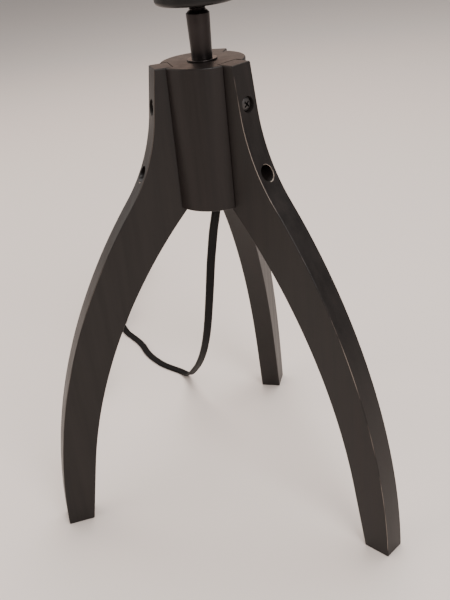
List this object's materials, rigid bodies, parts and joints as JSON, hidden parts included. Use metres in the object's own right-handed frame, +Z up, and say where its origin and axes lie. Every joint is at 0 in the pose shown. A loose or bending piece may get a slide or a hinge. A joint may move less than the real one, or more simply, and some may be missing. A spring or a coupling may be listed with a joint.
{
  "type": "table lamp",
  "caption": "Tripod table lamp without its shade: curved plate legs let into a turned hub, a stem with a screw lampholder, a turn-knob switch and a flat lead with plug.",
  "frame": {"origin": "where the lamp's axis meets the plane of the feet", "axes": "+Z up along the hub and stem, +Y along the back leg, +X to the right seen from the front"},
  "size_m": [0.3535, 0.4185, 0.3979],
  "materials": {
    "dark_wood": "satin black-brown lacquer over faint upright grain, worn along the edges",
    "black_metal": "black nickel on the stem, black oxide on the screws, satin",
    "zinc_steel": "zinc plated",
    "brass": "bare pressed brass",
    "holder_plastic": "moulded, semi-gloss",
    "insert_ceramic": "glazed",
    "cord_plastic": "soft vinyl, satin",
    "core_plastic": "vinyl",
    "tie_strap": "woven hook-and-loop strap"
  },
  "bodies": {
    "stand": {"hub": "dark_wood", "leg_back": "dark_wood", "leg_left": "dark_wood", "leg_right": "dark_wood", "upper_screws": "black_metal", "lower_screws": "black_metal", "stem_washer": "black_metal", "stem_sleeve": "black_metal", "threaded_tube": "black_metal", "lock_washer": "zinc_steel", "hub_nut": "zinc_steel", "cord_bushing": "cord_plastic", "inner_lead": "cord_plastic", "holder_cap": "holder_plastic", "cap_nut": "zinc_steel", "holder_insert": "insert_ceramic", "terminal_screws": "brass", "core_wires": "core_plastic", "thread_shell": "brass", "centre_contact": "brass", "side_contact": "brass", "holder_skirt": "holder_plastic", "supply_cord": "cord_plastic", "cord_hank": "cord_plastic", "cord_tie": "tie_strap", "cord_tail": "cord_plastic", "plug_relief": "cord_plastic", "plug_body": "cord_plastic", "plug_blades": "brass"},
    "ring": {"shade_ring": "holder_plastic"},
    "knob": {"switch_shaft": "brass", "switch_knob": "holder_plastic"}
  },
  "joints": [
    {"name": "shade_ring_turn", "type": "hinge", "parent": "stand", "child": "ring", "pos_m": [0, 0, 0.3735], "axis": [0, 0, 1], "continuous": true},
    {"name": "switch_knob_turn", "type": "hinge", "parent": "stand", "child": "knob", "pos_m": [0.03031, 0.0175, 0.3581], "axis": [0.866, 0.5, 0], "continuous": true}
  ]
}
